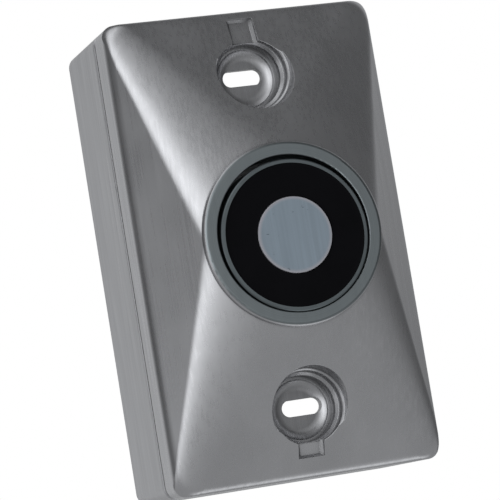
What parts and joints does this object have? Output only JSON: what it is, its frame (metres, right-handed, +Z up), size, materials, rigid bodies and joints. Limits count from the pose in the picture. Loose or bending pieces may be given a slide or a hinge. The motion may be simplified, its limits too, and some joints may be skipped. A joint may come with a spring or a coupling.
{
  "type": "electromagnetic door holder",
  "caption": "Surface mounted wall unit of an electromagnetic door holder: sloped metal cover on a deep rear frame, round pole face in a collar, stepped wells with screw slots.",
  "frame": {"origin": "centre of the rear frame's back face, on the wall plane", "axes": "+Z up along the long side, +X to the right seen from the front, front and pole face towards -Y"},
  "size_m": [0.0694, 0.0556, 0.1174],
  "materials": {
    "housing_metal": "satin",
    "frame_metal": "satin",
    "pole_steel": "satin",
    "pot_steel": "satin",
    "potting_compound": "matte",
    "bobbin_nylon": "matte",
    "copper_wire": "satin",
    "coil_tape": "matte",
    "black_rubber": "matte",
    "plated_steel": "satin",
    "bright_zinc": "satin",
    "insulation_paper": "matte",
    "board_laminate": "gloss",
    "component_epoxy": "matte",
    "varistor_coating": "gloss",
    "resistor_coating": "gloss",
    "terminal_plastic": "matte",
    "red_insulation": "matte",
    "black_insulation": "matte",
    "green_screw": "gloss"
  },
  "bodies": {
    "root": {"cover": "housing_metal", "rear_frame": "frame_metal", "pot_shell": "pot_steel", "pole_core": "pole_steel", "coil_bobbin": "bobbin_nylon", "coil_winding": "copper_wire", "coil_wrap": "coil_tape", "potting_ring": "potting_compound", "lead_grommet": "black_rubber", "magnet_bracket": "plated_steel", "core_screw": "bright_zinc", "core_lock_washer": "bright_zinc", "bracket_screws": "bright_zinc", "insulating_sheet": "insulation_paper", "board_standoffs": "plated_steel", "circuit_board": "board_laminate", "board_screws": "bright_zinc", "bridge_rectifier": "component_epoxy", "surge_varistor": "varistor_coating", "dropping_resistor": "resistor_coating", "terminal_block": "terminal_plastic", "terminal_screws": "bright_zinc", "terminal_clamps": "plated_steel", "coil_lead_red": "red_insulation", "coil_lead_black": "black_insulation", "ground_screw": "green_screw", "frame_screws": "bright_zinc"}
  },
  "joints": []
}
